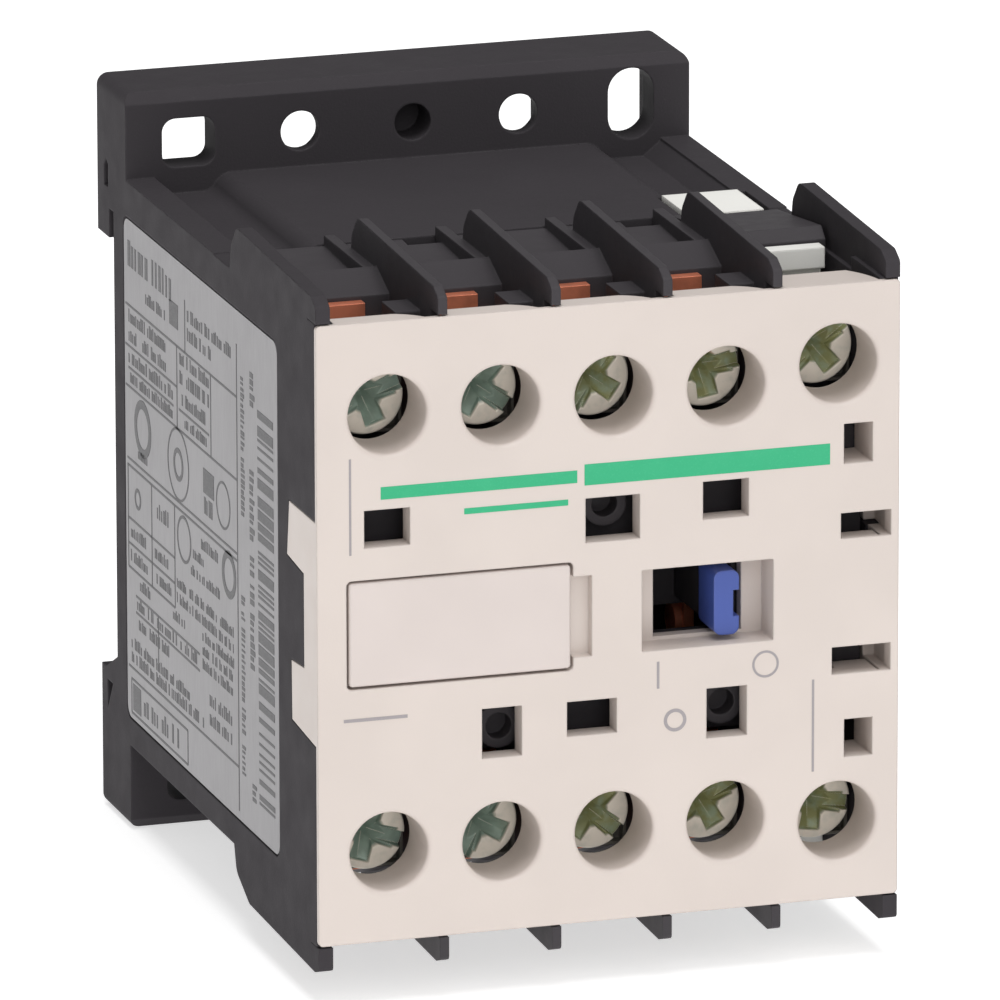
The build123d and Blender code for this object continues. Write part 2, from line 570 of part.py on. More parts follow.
def coil_terminal(z):
    """Tapped plate of a coil terminal with a tail back to the winding."""
    up = 1 if z > 0 else -1
    x = COLUMNS[4]
    plate = block((x - 3.1, x + 2.9), (PLATE_FRONT_Y, PLATE_REAR_Y),
                  sorted((up * (abs(z) - 3.8), up * 20.4)))
    tail = block(TAIL_X, (PLATE_REAR_Y - 0.5, -29.6), sorted((up * 19.15, up * 19.8)))
    body = plate + tail
    return body - round_y(x, z, SHANK_R + THREAD_CLEARANCE, (PLATE_FRONT_Y - 1, PLATE_REAR_Y + 1))


def recess_arm():
    """One arm of the cross recess: widest at the rim of the head, sloping in to the middle."""
    points = [(0.0, -0.62), (1.75, -0.72), (2.0, -0.45), (2.0, 0.45), (1.75, 0.72), (0.0, 0.62)]
    outline = Plane.XZ * make_face(Polyline(*points, close=True))
    arm = extrude(outline, amount=1.5, dir=(0, 1, 0), taper=0)
    wedge = [(2.1, -0.1), (2.1, 1.6), (1.15, 1.6), (1.85, -0.1)]
    low = Pos(0, 0, -1.0) * extrude(make_face(Polyline(*wedge, close=True)), amount=2.0, dir=(0, 0, 1))
    return arm - low


def terminal_screw(x, z, angle):
    """Pan head terminal screw with a combined slot and cross recess."""
    head = round_y(x, z, HEAD_R, (HEAD_FRONT_Y, HEAD_REAR_Y))
    head = fillet([e for e in head.edges() if e.center().Y < HEAD_FRONT_Y + 0.01], HEAD_EDGE_R)
    shank = round_y(x, z, SHANK_R, (HEAD_REAR_Y - 0.2, SHANK_END_Y))
    shank = chamfer([e for e in shank.edges() if e.center().Y > SHANK_END_Y - 0.01], 0.5)
    slot = Box(2 * HEAD_R + 1, 2 * RECESS_DEPTH, RECESS_WIDTH)
    cross = recess_arm() + Rot(0, 180, 0) * recess_arm() + Rot(0, 90, 0) * recess_arm()
    cross += Rot(0, -90, 0) * recess_arm()
    socket = Rot(90, 0, 0) * Cone(0.35, 1.15, 1.8)
    recess = slot + cross + Pos(0, 0.55, 0) * socket
    return head + shank - Pos(x, HEAD_FRONT_Y, z) * Rot(0, angle, 0) * recess


def wire_clamp(x, z):
    """Square cup washer carried under the screw head."""
    cup = block((x - CUP_HALF, x + CUP_HALF), (CUP_FRONT_Y, CUP_REAR_Y), (z - CUP_HALF, z + CUP_HALF))
    cup = fillet(cup.edges().filter_by(Axis.Y), 0.5)
    cup -= block((x - CUP_INNER_HALF, x + CUP_INNER_HALF), (CUP_FRONT_Y - 1, CUP_FLOOR_Y),
                 (z - CUP_INNER_HALF, z + CUP_INNER_HALF))
    return cup - round_y(x, z, SHANK_R + THREAD_CLEARANCE, (CUP_FRONT_Y - 1, CUP_REAR_Y + 1))


# ---------------------------------------------------------------------------
# electromagnet
# ---------------------------------------------------------------------------

def three_legs(x):
    """Centre leg and two outer legs of an E shape between two x values."""
    depth = (COIL_Y - LEG_HALF_Y, COIL_Y + LEG_HALF_Y)
    legs = block(x, depth, (-CENTRE_LEG_HALF, CENTRE_LEG_HALF))
    legs += block(x, depth, OUTER_LEG)
    return legs + block(x, depth, (-OUTER_LEG[1], -OUTER_LEG[0]))


def magnet_core():
    """Fixed E core at the left of the coil."""
    back = block(CORE_BACK, (COIL_Y - LEG_HALF_Y, COIL_Y + LEG_HALF_Y), (-OUTER_LEG[1], OUTER_LEG[1]))
    return back + three_legs((CORE_BACK[1] - 0.5, CORE_LEG_END))


def armature():
    """Moving E armature at the right, notched for the carrier's leg."""
    back = block(ARMATURE_BACK, (COIL_Y - 6.5, COIL_Y + 5.5), (-OUTER_LEG[1], OUTER_LEG[1]))
    body = back + three_legs((ARMATURE_LEG_END, ARMATURE_BACK[0] + 0.5))
    body -= block((15.0, 21.0), (COIL_Y - 7, -20.0), (-3.45, 3.45))
    return body - round_z(18.4, -21.8, 0.92, (-6, 6))


def armature_pin():
    """Steel pin through the armature and the carrier's leg."""
    return round_z(18.4, -21.8, 0.9, (-5.9, 5.9))


def coil_bobbin():
    """White bobbin with two flanges and the arms that carry the coil terminals."""
    tube = block((-FLANGE_X[1], FLANGE_X[1]), (COIL_Y - 6.3, COIL_Y + 6.3), (-6.0, 6.0))
    body = tube
    for x in (FLANGE_X, (-FLANGE_X[1], -FLANGE_X[0])):
        body += block(x, (-28.3, -6.4), (-14.2, 14.2))
    for up in (1, -1):
        body += block((FLANGE_X[0], ARM_X[0] + 1.0), (-28.3, -25.5), sorted((up * 13.0, up * 18.5)))
        body += block(ARM_X, (-30.9, -25.5), sorted((up * 16.0, up * 22.6)))
        body += block(ARM_X, (-31.8, -30.0), sorted((up * 20.0, up * 22.6)))
        body += block(ARM_X, (-45.0, -31.0), sorted((up * 20.0, up * 21.9)))
        body += block(ARM_X, (-46.0, -44.6), sorted((up * 21.5, up * 23.1)))
        tail_way = (TAIL_X[0] - 0.1, ARM_X[1] + 1)
        body -= block(tail_way, (-33.0, -29.4), sorted((up * 19.0, up * 19.95)))
    return body - block((-14, 14), (COIL_Y - 4.9, COIL_Y + 4.9), (-4.6, 4.6))


def coil_winding():
    """Wound copper body between the bobbin's flanges."""
    outer = block((-FLANGE_X[0] + 0.05, FLANGE_X[0] - 0.05), (-27.6, -7.1), (-13.4, 13.4))
    outer = fillet(outer.edges().filter_by(Axis.X), 3.0)
    return outer - block((-12, 12), (COIL_Y - 6.35, COIL_Y + 6.35), (-6.05, 6.05))


# ---------------------------------------------------------------------------
# export
# ---------------------------------------------------------------------------

def save(name, shape):
    """Write one named node."""
    export_step(shape, f"parts/{name}.step")


save("base_housing", base_housing())
save("contact_housing", contact_housing())
save("dividing_plate", dividing_plate())
save("front_cover", front_cover())
save("marker_plate", marker_plate())
save("side_label", side_label())
save("din_latch", din_latch())
save("latch_spring", latch_spring())
save("contact_carrier", contact_carrier())
save("indicator_tab", indicator_tab())
save("return_spring", return_spring())
save("magnet_core", magnet_core())
save("armature", armature())
save("armature_pin", armature_pin())
save("coil_bobbin", coil_bobbin())
save("coil_winding", coil_winding())

for number, x in enumerate(COLUMNS[:4], start=1):
    save(f"contact_bridge_{number}", bridge(x))
    save(f"contact_spring_{number}", contact_spring(x))
    save(f"fixed_contact_top_{number}", fixed_contact(x, POLE_SCREW_Z[0]))
    save(f"fixed_contact_bottom_{number}", fixed_contact(x, POLE_SCREW_Z[1]))
save("coil_terminal_top", coil_terminal(COIL_SCREW_Z[0]))
save("coil_terminal_bottom", coil_terminal(COIL_SCREW_Z[1]))

for row, place in enumerate(("top", "bottom")):
    for number, x in enumerate(COLUMNS, start=1):
        z = POLE_SCREW_Z[row] if number < 5 else COIL_SCREW_Z[row]
        angle = RECESS_ANGLES[row * 5 + number - 1]
        save(f"terminal_screw_{place}_{number}", terminal_screw(x, z, angle))
        save(f"wire_clamp_{place}_{number}", wire_clamp(x, z))
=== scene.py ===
"""Looks of a four pole DIN rail contactor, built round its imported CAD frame.

The CAD nodes keep their shapes and get real finishes. The terminal screws, the printed marks and
the rating label's print are new pieces. Everything is in metres in the frame's own axes: +X right,
+Z up, front at -Y.
"""

import math

import bmesh
import bpy
import numpy as np
from bpy.props import FloatProperty, FloatVectorProperty, IntProperty, PointerProperty
from mathutils import Matrix, Vector


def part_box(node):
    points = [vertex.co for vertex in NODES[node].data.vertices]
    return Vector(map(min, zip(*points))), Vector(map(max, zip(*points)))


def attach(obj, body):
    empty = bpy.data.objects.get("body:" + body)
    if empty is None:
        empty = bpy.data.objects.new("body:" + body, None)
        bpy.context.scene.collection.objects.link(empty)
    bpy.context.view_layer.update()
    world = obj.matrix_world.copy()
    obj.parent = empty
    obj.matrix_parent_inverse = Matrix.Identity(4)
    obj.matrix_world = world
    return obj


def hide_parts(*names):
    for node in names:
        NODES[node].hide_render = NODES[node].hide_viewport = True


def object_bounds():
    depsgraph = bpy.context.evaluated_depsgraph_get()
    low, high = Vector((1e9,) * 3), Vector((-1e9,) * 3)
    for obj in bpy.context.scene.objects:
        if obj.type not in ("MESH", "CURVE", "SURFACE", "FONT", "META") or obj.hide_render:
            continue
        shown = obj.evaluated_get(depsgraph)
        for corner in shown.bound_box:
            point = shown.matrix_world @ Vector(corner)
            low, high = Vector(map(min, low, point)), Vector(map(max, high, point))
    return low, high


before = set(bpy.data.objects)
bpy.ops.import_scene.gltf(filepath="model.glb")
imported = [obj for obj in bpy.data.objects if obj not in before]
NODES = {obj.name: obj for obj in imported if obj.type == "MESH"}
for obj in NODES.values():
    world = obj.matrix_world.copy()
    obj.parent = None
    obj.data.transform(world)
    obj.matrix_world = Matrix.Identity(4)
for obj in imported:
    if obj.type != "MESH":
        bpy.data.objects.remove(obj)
CAD_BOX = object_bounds()

bl_info = {
    "name": "Din rail contactor",
    "version": (1, 0, 0),
    "blender": (4, 5, 0),
    "location": "3D View > Sidebar > Contactor",
    "description": "Finishes, printed marks and studio for a packed contactor",
    "category": "Object",
}

MM = 0.001
COVER_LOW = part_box("front_cover")[0]
LABEL_LOW, LABEL_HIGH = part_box("side_label")


def linear(code):
    """Linear colour of an sRGB hex code: the lower part is a straight line, the rest a 2.4 power."""
    srgb = np.array([int(code[i:i + 2], 16) for i in (1, 3, 5)]) / 255
    return tuple(np.where(srgb <= 0.04045, srgb / 12.92, ((srgb + 0.055) / 1.055) ** 2.4))


def colour(name, code, description):
    """A colour setting whose default is an sRGB hex code."""
    return FloatVectorProperty(name=name, description=description, subtype="COLOR", size=3,
                               min=0, max=1, default=linear(code))


def length(name, millimetres, description):
    """A length setting whose default is given in millimetres."""
    return FloatProperty(name=name, description=description, unit="LENGTH", default=millimetres * MM)


# ---------------------------------------------------------------------------
# settings
# ---------------------------------------------------------------------------

class ContactorColours(bpy.types.PropertyGroup):
    """Colours of the mouldings, inks and metals."""

    housing: colour("Housing", "#3E3B3E", "Dark polyamide of the base and contact housing")
    # lighter edge colour of the dark mouldings, partly wear and partly a painted highlight
    housing_wear_and_highlight: colour("Worn housing", "#5A575A", "Rubbed edges of the dark polyamide")
    cover: colour("Cover", "#D3C8C1", "Cream moulding of the front cover")
    # lighter edge colour of the light mouldings, partly wear and partly a painted highlight
    cover_wear_and_highlight: colour("Worn cover", "#DDD4CD", "Rubbed edges of the cream moulding")
    marker: colour("Marker plate", "#D2C7C2", "Clip-in marker plate")
    bobbin: colour("Bobbin", "#F2F1EC", "White bobbin moulding")
    indicator: colour("Indicator", "#4256A0", "Blue position indicator")
    # lighter edge colour of the indicator, partly wear and partly a painted highlight
    indicator_wear_and_highlight: colour("Worn indicator", "#6C7BBB", "Rubbed edges of the blue indicator")
    foil: colour("Label foil", "#929092", "Satin polyester foil of the rating label")
    label_ink: colour("Label ink", "#2B292D", "Black transfer ink on the label")
    mark_ink: colour("Mark ink", "#9A9496", "Grey pad printed ink on the cover")
    stripe_ink: colour("Stripe ink", "#25AA77", "Green pad printed stripes")
    zinc: colour("Zinc", "#E4DDD0", "Bright zinc on the flats of the terminal screws")
    grey_film: colour("Grey film", "#83968A", "Grey green passivation in the driver recesses")
    olive_film: colour("Olive film", "#8E9163", "Olive passivation in the driver recesses")
    rust: colour("Rust", "#C9763F", "Small rust bloom on plated steel")
    steel: colour("Steel", "#9B9C9E", "Bare spring and magnet steel")
    copper: colour("Copper", "#DB8364", "Stamped copper strip")
    tarnish: colour("Tarnish", "#8A4F3C", "Darkened copper")
    silver: colour("Silver", "#D9D8D3", "Tinned coil tags and silver tips")
    enamel: colour("Enamel", "#A8501F", "Enamelled winding wire")
    floor: colour("Floor", "#E2E2E2", "Plain pale floor")


class ContactorSizes(bpy.types.PropertyGroup):
    """Real sizes behind the finishes and prints."""

    housing_grain: length("Housing grain", 0.22, "Spark-eroded grain of the dark mouldings")
    cover_grain: length("Cover grain", 0.16, "Finer grain of the cream mouldings")
    edge_radius: length("Edge radius", 0.22, "Rounding left on moulded edges")
    metal_edge_radius: length("Metal edge radius", 0.1, "Rounding left on stamped and turned edges")
    brush_pitch: length("Brush pitch", 0.18, "Spacing of rolling lines on strip, drawn coarse enough to show")
    wire_pitch: length("Wire pitch", 0.3, "Spacing of winding turns, drawn coarser than the real wire")
    lamination: length("Lamination", 0.5, "Thickness of one electrical steel lamination")
    thread_pitch: length("Thread pitch", 0.6, "Pitch of the terminal screws")
    thread_depth: length("Thread depth", 0.3, "Depth of the terminal screws' thread")
    slot_half: length("Half slot", 0.55, "Half the width of a screw's driver slot")
    cross_reach: length("Cross reach", 2.25, "Length of each arm of a screw's cross recess")
    ink_thickness: length("Ink thickness", 0.02, "How far a print stands off its surface")
    bar_module: length("Bar module", 0.2, "Narrowest bar of the stripe code")
    floor_size: length("Floor size", 3000, "Width of the floor sheet")
    camera_distance: length("Camera distance", 1120.8, "From the lens to the middle of the object")
    lens: FloatProperty(name="Lens", description="Focal length in millimetres", default=535.5)
    seed: IntProperty(name="Seed", description="Start of the label's stroke pattern", default=7)


# ---------------------------------------------------------------------------
# shader nodes
# ---------------------------------------------------------------------------

def add(tree, kind, inputs=None, **settings):
    """Adds one shader node: its settings, then each input, where a socket is linked and a value is set."""
    made = tree.nodes.new(kind)
    for name, value in settings.items():
        setattr(made, name, value)
    for name, value in (inputs or {}).items():
        socket = made.inputs[name]
        if isinstance(value, bpy.types.NodeSocket):
            tree.links.new(value, socket)
        elif socket.type == "RGBA":
            socket.default_value = (*value[:3], 1)
        else:
            socket.default_value = value
    return made


class Finish:
    """A named material under construction: its tree, its Principled shader and its Object coordinates."""

    def __init__(self, name, **constants):
        self.material = bpy.data.materials.new(name)
        self.material.use_nodes = True
        self.tree = self.material.node_tree
        self.tree.nodes.clear()
        self.shader = add(self.tree, "ShaderNodeBsdfPrincipled",
                          {key.replace("_", " "): value for key, value in constants.items()})
        add(self.tree, "ShaderNodeOutputMaterial", {"Surface": self.shader.outputs["BSDF"]})
        self.place = add(self.tree, "ShaderNodeTexCoord").outputs["Object"]

    def rise(self, value, low, high, start=0.0, end=1.0):
        """Share that goes from start to end as a value goes from low to high."""
        return add(self.tree, "ShaderNodeMapRange", {"Value": value, "From Min": low, "From Max": high,
                                                     "To Min": start, "To Max": end}).outputs["Result"]

    def cloud(self, size, detail=3.0, place=None):
        """Noise whose blobs are about size metres across."""
        return add(self.tree, "ShaderNodeTexNoise", {"Vector": place or self.place, "Scale": 1 / size,
                                                     "Detail": detail}).outputs["Fac"]

    def both(self, first, second):
        """Share left where two masks overlap: their product."""
        return add(self.tree, "ShaderNodeMath", {0: first, 1: second}, operation="MULTIPLY").outputs[0]

    def edges(self, radius):
        """Normal with its edges rounded to a radius, and a mask that is 1 on those edges."""
        soft = add(self.tree, "ShaderNodeBevel", {"Radius": radius}, samples=6).outputs["Normal"]
        flat = add(self.tree, "ShaderNodeNewGeometry").outputs["Normal"]
        turn = add(self.tree, "ShaderNodeVectorMath", {0: soft, 1: flat}, operation="DOT_PRODUCT")
        return soft, self.rise(turn.outputs["Value"], 0.985, 0.86)

    def coat(self, base, *coats):
        """Base colour with coats laid over it in turn, each a (mask, colour) pair."""
        for mask, over in coats:
            base = add(self.tree, "ShaderNodeMix", {0: mask, 6: base, 7: over}, data_type="RGBA").outputs[2]
        self.tree.links.new(base, self.shader.inputs["Base Color"])

    def feel(self, gloss, height, depth, strength=0.5, normal=None):
        """Roughness from a mask and relief from a height that is worth depth metres."""
        self.tree.links.new(gloss, self.shader.inputs["Roughness"])
        inputs = {"Height": height, "Distance": depth, "Strength": strength}
        if normal:
            inputs["Normal"] = normal
        bump = add(self.tree, "ShaderNodeBump", inputs)
        self.tree.links.new(bump.outputs["Normal"], self.shader.inputs["Normal"])


def times(shade, factor):
    """A colour made lighter or darker by a factor, no brighter than white."""
    return tuple(min(1.0, factor * c) for c in shade[:3])


def moulded(name, body, wear_and_highlight_colour, grain, depth, roughness, radius, edge_wear_and_highlight, specular):
    """Injection moulded plastic: fine eroded grain, faint mottling, and rounded edges painted lighter, partly
    as wear and partly as a painted highlight.
    """
    made = Finish(name, IOR=1.53, Specular_IOR_Level=specular)
    soft, edge = made.edges(radius)
    fine = made.cloud(grain)
    smear = made.cloud(2.3 * MM, 4.0)
    made.coat(body,
              (made.rise(made.cloud(11 * MM), 0.4, 0.6), times(body, 0.965)),
              (made.rise(fine, 0.62, 0.8, 0.0, 0.15), wear_and_highlight_colour),
              # edges lightened through the bevel mask: partly wear, partly a painted highlight
              (made.both(edge, made.rise(smear, 0.35, 0.7, 0.1, edge_wear_and_highlight)), wear_and_highlight_colour))
    made.feel(made.rise(smear, 0.3, 0.7, roughness - 0.05, roughness + 0.06), fine, depth, 0.6, soft)
    return made.material


def black_polyamide(colours, sizes):
    """Glass filled polyamide, moulded in an eroded tool: matt charcoal with paler edges, partly rubbed and
    partly a painted highlight.
    """
    return moulded("moulded_glass_filled_polyamide", colours.housing, colours.housing_wear_and_highlight,
                   sizes.housing_grain, 0.025 * MM, 0.6, sizes.edge_radius, 0.5, 0.05)


def dark_polyamide(colours, sizes):
    """The contact housing's polyamide: the same charcoal, a little glossier from a smoother tool."""
    return moulded("moulded_satin_polyamide", times(colours.housing, 1.1), colours.housing_wear_and_highlight,
                   sizes.housing_grain, 0.015 * MM, 0.5, sizes.edge_radius, 0.5, 0.12)


def cream_polycarbonate(colours, sizes):
    """Cream polycarbonate moulded in a fine tool: satin, warm, with soft bright edges."""
    return moulded("moulded_cream_polycarbonate", colours.cover, colours.cover_wear_and_highlight,
                   sizes.cover_grain, 0.01 * MM, 0.42, sizes.edge_radius, 0.5, 0.4)


def marker_polycarbonate(colours, sizes):
    """Marker plate moulded smoother than the cover, so that it reads as a separate piece."""
    return moulded("moulded_marker_polycarbonate", colours.marker, colours.cover_wear_and_highlight,
                   sizes.cover_grain, 0.006 * MM, 0.38, sizes.edge_radius, 0.4, 0.4)


def white_polyester(colours, sizes):
    """Glass filled polyester of the bobbin: chalky white with a faint grain."""
    return moulded("moulded_white_polyester", colours.bobbin, colours.cover_wear_and_highlight,
                   sizes.cover_grain, 0.012 * MM, 0.5, sizes.edge_radius, 0.3, 0.4)


def blue_acetal(colours, sizes):
    """Acetal of the position indicator: smooth and slightly waxy, with paler edges, partly rubbed and partly
    a painted highlight.
    """
    return moulded("moulded_blue_acetal", colours.indicator, colours.indicator_wear_and_highlight,
                   sizes.cover_grain, 0.006 * MM, 0.4, sizes.edge_radius, 0.6, 0.4)


def label_foil(colours, sizes):
    """Polyester label with a brushed satin silver face: fine upright lines and a soft sheen."""
    made = Finish("brushed_satin_label_foil", Metallic=0.15)
    upright = add(made.tree, "ShaderNodeMapping", {"Vector": made.place, "Scale": (1, 1, 0.06)})
    lines = made.cloud(0.12 * MM, 2.0, upright.outputs["Vector"])
    made.coat(colours.foil,
              (made.rise(made.cloud(9 * MM), 0.35, 0.65), times(colours.foil, 1.08)),
              (made.rise(lines, 0.5, 0.8, 0, 0.25), times(colours.foil, 0.85)))
    made.feel(made.rise(lines, 0.3, 0.7, 0.42, 0.52), lines, 0.004 * MM, 0.25)
    return made.material


def printed_ink(name, body, roughness):
    """Printed ink film: nearly flat colour that thins in specks where the surface grain shows."""
    made = Finish(name)
    speck = made.cloud(0.14 * MM, 2.0)
    thin = tuple(min(1.0, c + 0.05) for c in times(body, 1.15))
    made.coat(body,
              (made.rise(speck, 0.55, 0.8, 0, 0.35), thin),
              (made.rise(made.cloud(2.5 * MM), 0.5, 0.8, 0, 0.2), thin))
    made.feel(made.rise(speck, 0.3, 0.7, roughness - 0.05, roughness + 0.08), speck, 0.004 * MM, 0.3)
    return made.material


def metal(name, body, dull, grain_axis, grain, radius, roughness, dull_share=0.5, metallic=1.0):
    """Rolled or stamped metal: streaks along one axis, dull patches, and slightly rounded edges lightened as
    a painted highlight.
    """
    made = Finish(name, Metallic=metallic)
    soft, edge = made.edges(radius)
    stretch = [1.0, 1.0, 1.0]
    stretch[grain_axis] = 0.05
    drawn = add(made.tree, "ShaderNodeMapping", {"Vector": made.place, "Scale": stretch})
    streak = made.cloud(grain, 3.0, drawn.outputs["Vector"])
    made.coat(body, (made.rise(made.cloud(1.7 * MM, 4.0), 0.42, 0.7, 0, dull_share), dull),
              # edges lightened as a painted highlight
              (edge, times(body, 1.15)))
    made.feel(made.rise(streak, 0.3, 0.7, roughness - 0.07, roughness + 0.1), streak, 0.008 * MM, 0.35, soft)
    return made.material


CLAMP_PAINTED_SHADE = 0.2    # painted shade: share of the screws' brightness left on the clamps below them, standing for the shade deep in the holes


def passivated_zinc(colours, sizes, recessed):
    """Zinc plated steel, passivated: pale flats and grey green to olive recesses; the clamps round them get
    the same zinc darkened as painted shade.
    """
    made = Finish("passivated_zinc_screw" if recessed else "passivated_zinc_clamp_in_painted_shade", Metallic=0.15)
    patch = made.cloud(0.9 * MM, 4.0)
    fine = made.cloud(0.1 * MM, 2.0)
    soft, edge = made.edges(sizes.metal_edge_radius)
    # the clamps' colours are darkened as painted shade, for the shade deep in the terminal holes
    shade = 1.0 if recessed else CLAMP_PAINTED_SHADE
    coats = [(made.rise(patch, 0.5, 0.75, 0, 0.25), times(colours.grey_film, shade))]
    if recessed:
        axes = add(made.tree, "ShaderNodeSeparateXYZ", {"Vector": made.place}).outputs
        inside = made.rise(axes["Y"], SCREW_FRONT + 0.06 * MM, SCREW_FRONT + 0.3 * MM)
        olive = made.rise(axes["X"], -7 * MM, 1 * MM)
        # one bloom of rust beside the recess of the fourth screw
        away = add(made.tree, "ShaderNodeVectorMath", {0: made.place, 1: RUST_SPOT}, operation="DISTANCE")
        bloom = made.both(made.rise(away.outputs["Value"], 0.75 * MM, 0.25 * MM), made.rise(patch, 0.4, 0.55))
        # the last coat lightens the recess edges as a painted highlight
        coats += [(inside, colours.grey_film), (made.both(inside, olive), colours.olive_film),
                  (made.both(inside, made.rise(patch, 0.45, 0.7, 0, 0.5)), times(colours.grey_film, 1.5)),
                  (bloom, colours.rust), (made.rise(edge, 0, 1, 0, 0.8), times(colours.zinc, 1.2))]
    made.coat(times(colours.zinc, shade), *coats)
    made.feel(made.rise(patch, 0.3, 0.7, 0.34, 0.5), fine, 0.008 * MM, 0.3, soft)
    return made.material


def banded(name, body, dark, axis, pitch, roughness, metallic):
    """Metal in even bands across one axis, such as laminations or wound wire, each band crowned."""
    made = Finish(name, Metallic=metallic)
    # the Wave texture has 10 / pi bands to the unit at scale 1, so this scale gives one band to the pitch
    wave = add(made.tree, "ShaderNodeTexWave", {"Vector": made.place, "Scale": math.pi / 10 / pitch * 2,
               "Distortion": 0.4, "Detail": 1.0}, bands_direction=axis, wave_profile="SIN").outputs["Fac"]
    patch = made.cloud(3 * MM)
    made.coat(dark, (made.rise(wave, 0.0, 0.6), body), (made.rise(patch, 0.5, 0.8, 0, 0.3), dark))
    made.feel(made.rise(patch, 0.3, 0.7, roughness - 0.06, roughness + 0.08), wave, pitch / 5, 0.7)
    return made.material


BACKLIGHT = 0.6    # light that comes through the paper from below


def studio_paper(colours):
    """Matt white paper lit from behind as well, so that the floor stays pale under soft shadows."""
    made = Finish("backlit_white_studio_paper", Emission_Color=(1, 1, 1), Emission_Strength=BACKLIGHT)
    fibre = made.cloud(1.2 * MM)
    made.coat(colours.floor, (made.rise(made.cloud(60 * MM), 0.4, 0.7), times(colours.floor, 0.985)))
    made.feel(made.rise(fibre, 0.3, 0.7, 0.82, 0.92), fibre, 0.02 * MM, 0.3)
    return made.material


def finish(material, *names):
    """Gives CAD nodes a material in every slot of their objects."""
    for name in names:
        node = NODES[name]
        node.data.materials.clear()
        node.data.materials.append(material)


# ---------------------------------------------------------------------------
# flat print geometry: u right, v up and w out of a surface
# ---------------------------------------------------------------------------

CORNERS = np.array([[i, j, k] for i in (0, 1) for j in (0, 1) for k in (0, 1)])
BOX_FACES = np.array([(0, 1, 3, 2), (4, 6, 7, 5), (0, 4, 5, 1), (2, 3, 7, 6), (0, 2, 6, 4), (1, 5, 7, 3)])


def bars(rows, height):
    """Closed boxes on rows of (u0, u1, v0, v1): each corner takes the low or high limit on each axis."""
    rows = np.asarray(rows, float).reshape(-1, 4)
    low = np.column_stack([rows[:, 0], rows[:, 2], np.full(len(rows), -height)])
    high = np.column_stack([rows[:, 1], rows[:, 3], np.full(len(rows), height)])
    points = np.where(CORNERS[None] == 0, low[:, None], high[:, None]).reshape(-1, 3)
    faces = (BOX_FACES[None] + 8 * np.arange(len(rows))[:, None, None]).reshape(-1, 4)
    return points, faces


def ring(u, v, inner, outer, height, steps=48):
    """Flat ring: a rectangle (radius, w) carried round a circle of steps points and joined to itself."""
    angle = np.linspace(0, 2 * math.pi, steps, endpoint=False)[:, None]
    radius = np.array([inner, outer, outer, inner])
    rise = np.array([-height, -height, height, height])
    points = np.stack([u + radius * np.cos(angle), v + radius * np.sin(angle),
                       np.broadcast_to(rise, (steps, 4))], axis=-1).reshape(-1, 3)
    step = np.arange(steps)[:, None]
    side = np.arange(4)[None]
    following = (step + 1) % steps
    faces = np.stack([step * 4 + side, following * 4 + side, following * 4 + (side + 1) % 4,
                      step * 4 + (side + 1) % 4], axis=-1).reshape(-1, 4)
    return points, faces[:, ::-1]


def join(parts):
    """One point array and one face array from several."""
    starts = np.cumsum([0] + [len(points) for points, _ in parts[:-1]])
    return (np.concatenate([points for points, _ in parts]),
            np.concatenate([faces + start for (_, faces), start in zip(parts, starts)]))


def lay(shape, origin, right, up, out):
    """Takes (u, v, w) points to the frame: origin plus u, v and w along three unit vectors."""
    points, faces = shape
    return np.asarray(origin) + points @ np.array([right, up, out], float), faces


FRONT = {"right": (1, 0, 0), "up": (0, 0, 1), "out": (0, -1, 0)}
SIDE = {"right": (0, -1, 0), "up": (0, 0, 1), "out": (-1, 0, 0)}


def piece(name, shape, body, material, crease=None):
    """Mesh object from points and faces, faces turned outwards, that rides on a body."""
    points, faces = shape
    mesh = bpy.data.meshes.new(name)
    mesh.from_pydata(points.tolist(), [], faces if isinstance(faces, list) else faces.tolist())
    turned = bmesh.new()
    turned.from_mesh(mesh)
    bmesh.ops.recalc_face_normals(turned, faces=turned.faces)
    turned.to_mesh(mesh)
    turned.free()
    if crease:
        mesh.shade_smooth()
        mesh.set_sharp_from_angle(angle=crease)
    mesh.materials.append(material)
    made = bpy.data.objects.new(name, mesh)
    bpy.context.scene.collection.objects.link(made)
    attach(made, body)
    return made


# ---------------------------------------------------------------------------
# terminal screws
# ---------------------------------------------------------------------------

SCREW_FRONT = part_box("terminal_screw_top_1")[0].y
HEAD_R = 2.9 * MM
HEAD_REAR = SCREW_FRONT + 2.15 * MM
HEAD_EDGE = 0.16 * MM
SHANK_R = 1.72 * MM
SHANK_END = SCREW_FRONT + 10.35 * MM
HEAD_CHAMFER = 0.15 * MM        # at the head's rear rim
SLOT_DEPTH = 0.75 * MM
ARM_DEPTH = 1.6 * MM            # of a cross arm at the middle of the head
ARM_SLOPE = 0.5                 # how fast an arm gets shallower outwards
ARM_HALF = 0.68 * MM            # half width of an arm at the middle, and what the flare adds at the rim
ARM_FLARE = 0.2 * MM
CONE_DEPTH = 1.9 * MM
CONE_R = 1.35 * MM
WALL_BLUR = 0.07 * MM           # half the width over which a recess wall drops
LEAD_IN = 0.6 * MM              # tapered end of the thread
ROUND_STEPS = 240
HEAD_RINGS = 76
SHANK_RINGS = 84
SCREW_CREASE = math.radians(38)
RUST_SPOT = (9.75 * MM, SCREW_FRONT, 17.75 * MM)
TURNS = {"top": (20, -35, 55, 10, 38), "bottom": (-18, 62, -40, 28, -8)}


def smooth_step(value, low, high):
    """0 below low and 1 above high, with the curve 3t^2 - 2t^3 between."""
    share = np.clip((value - low) / (high - low), 0, 1)
    return share * share * (3 - 2 * share)


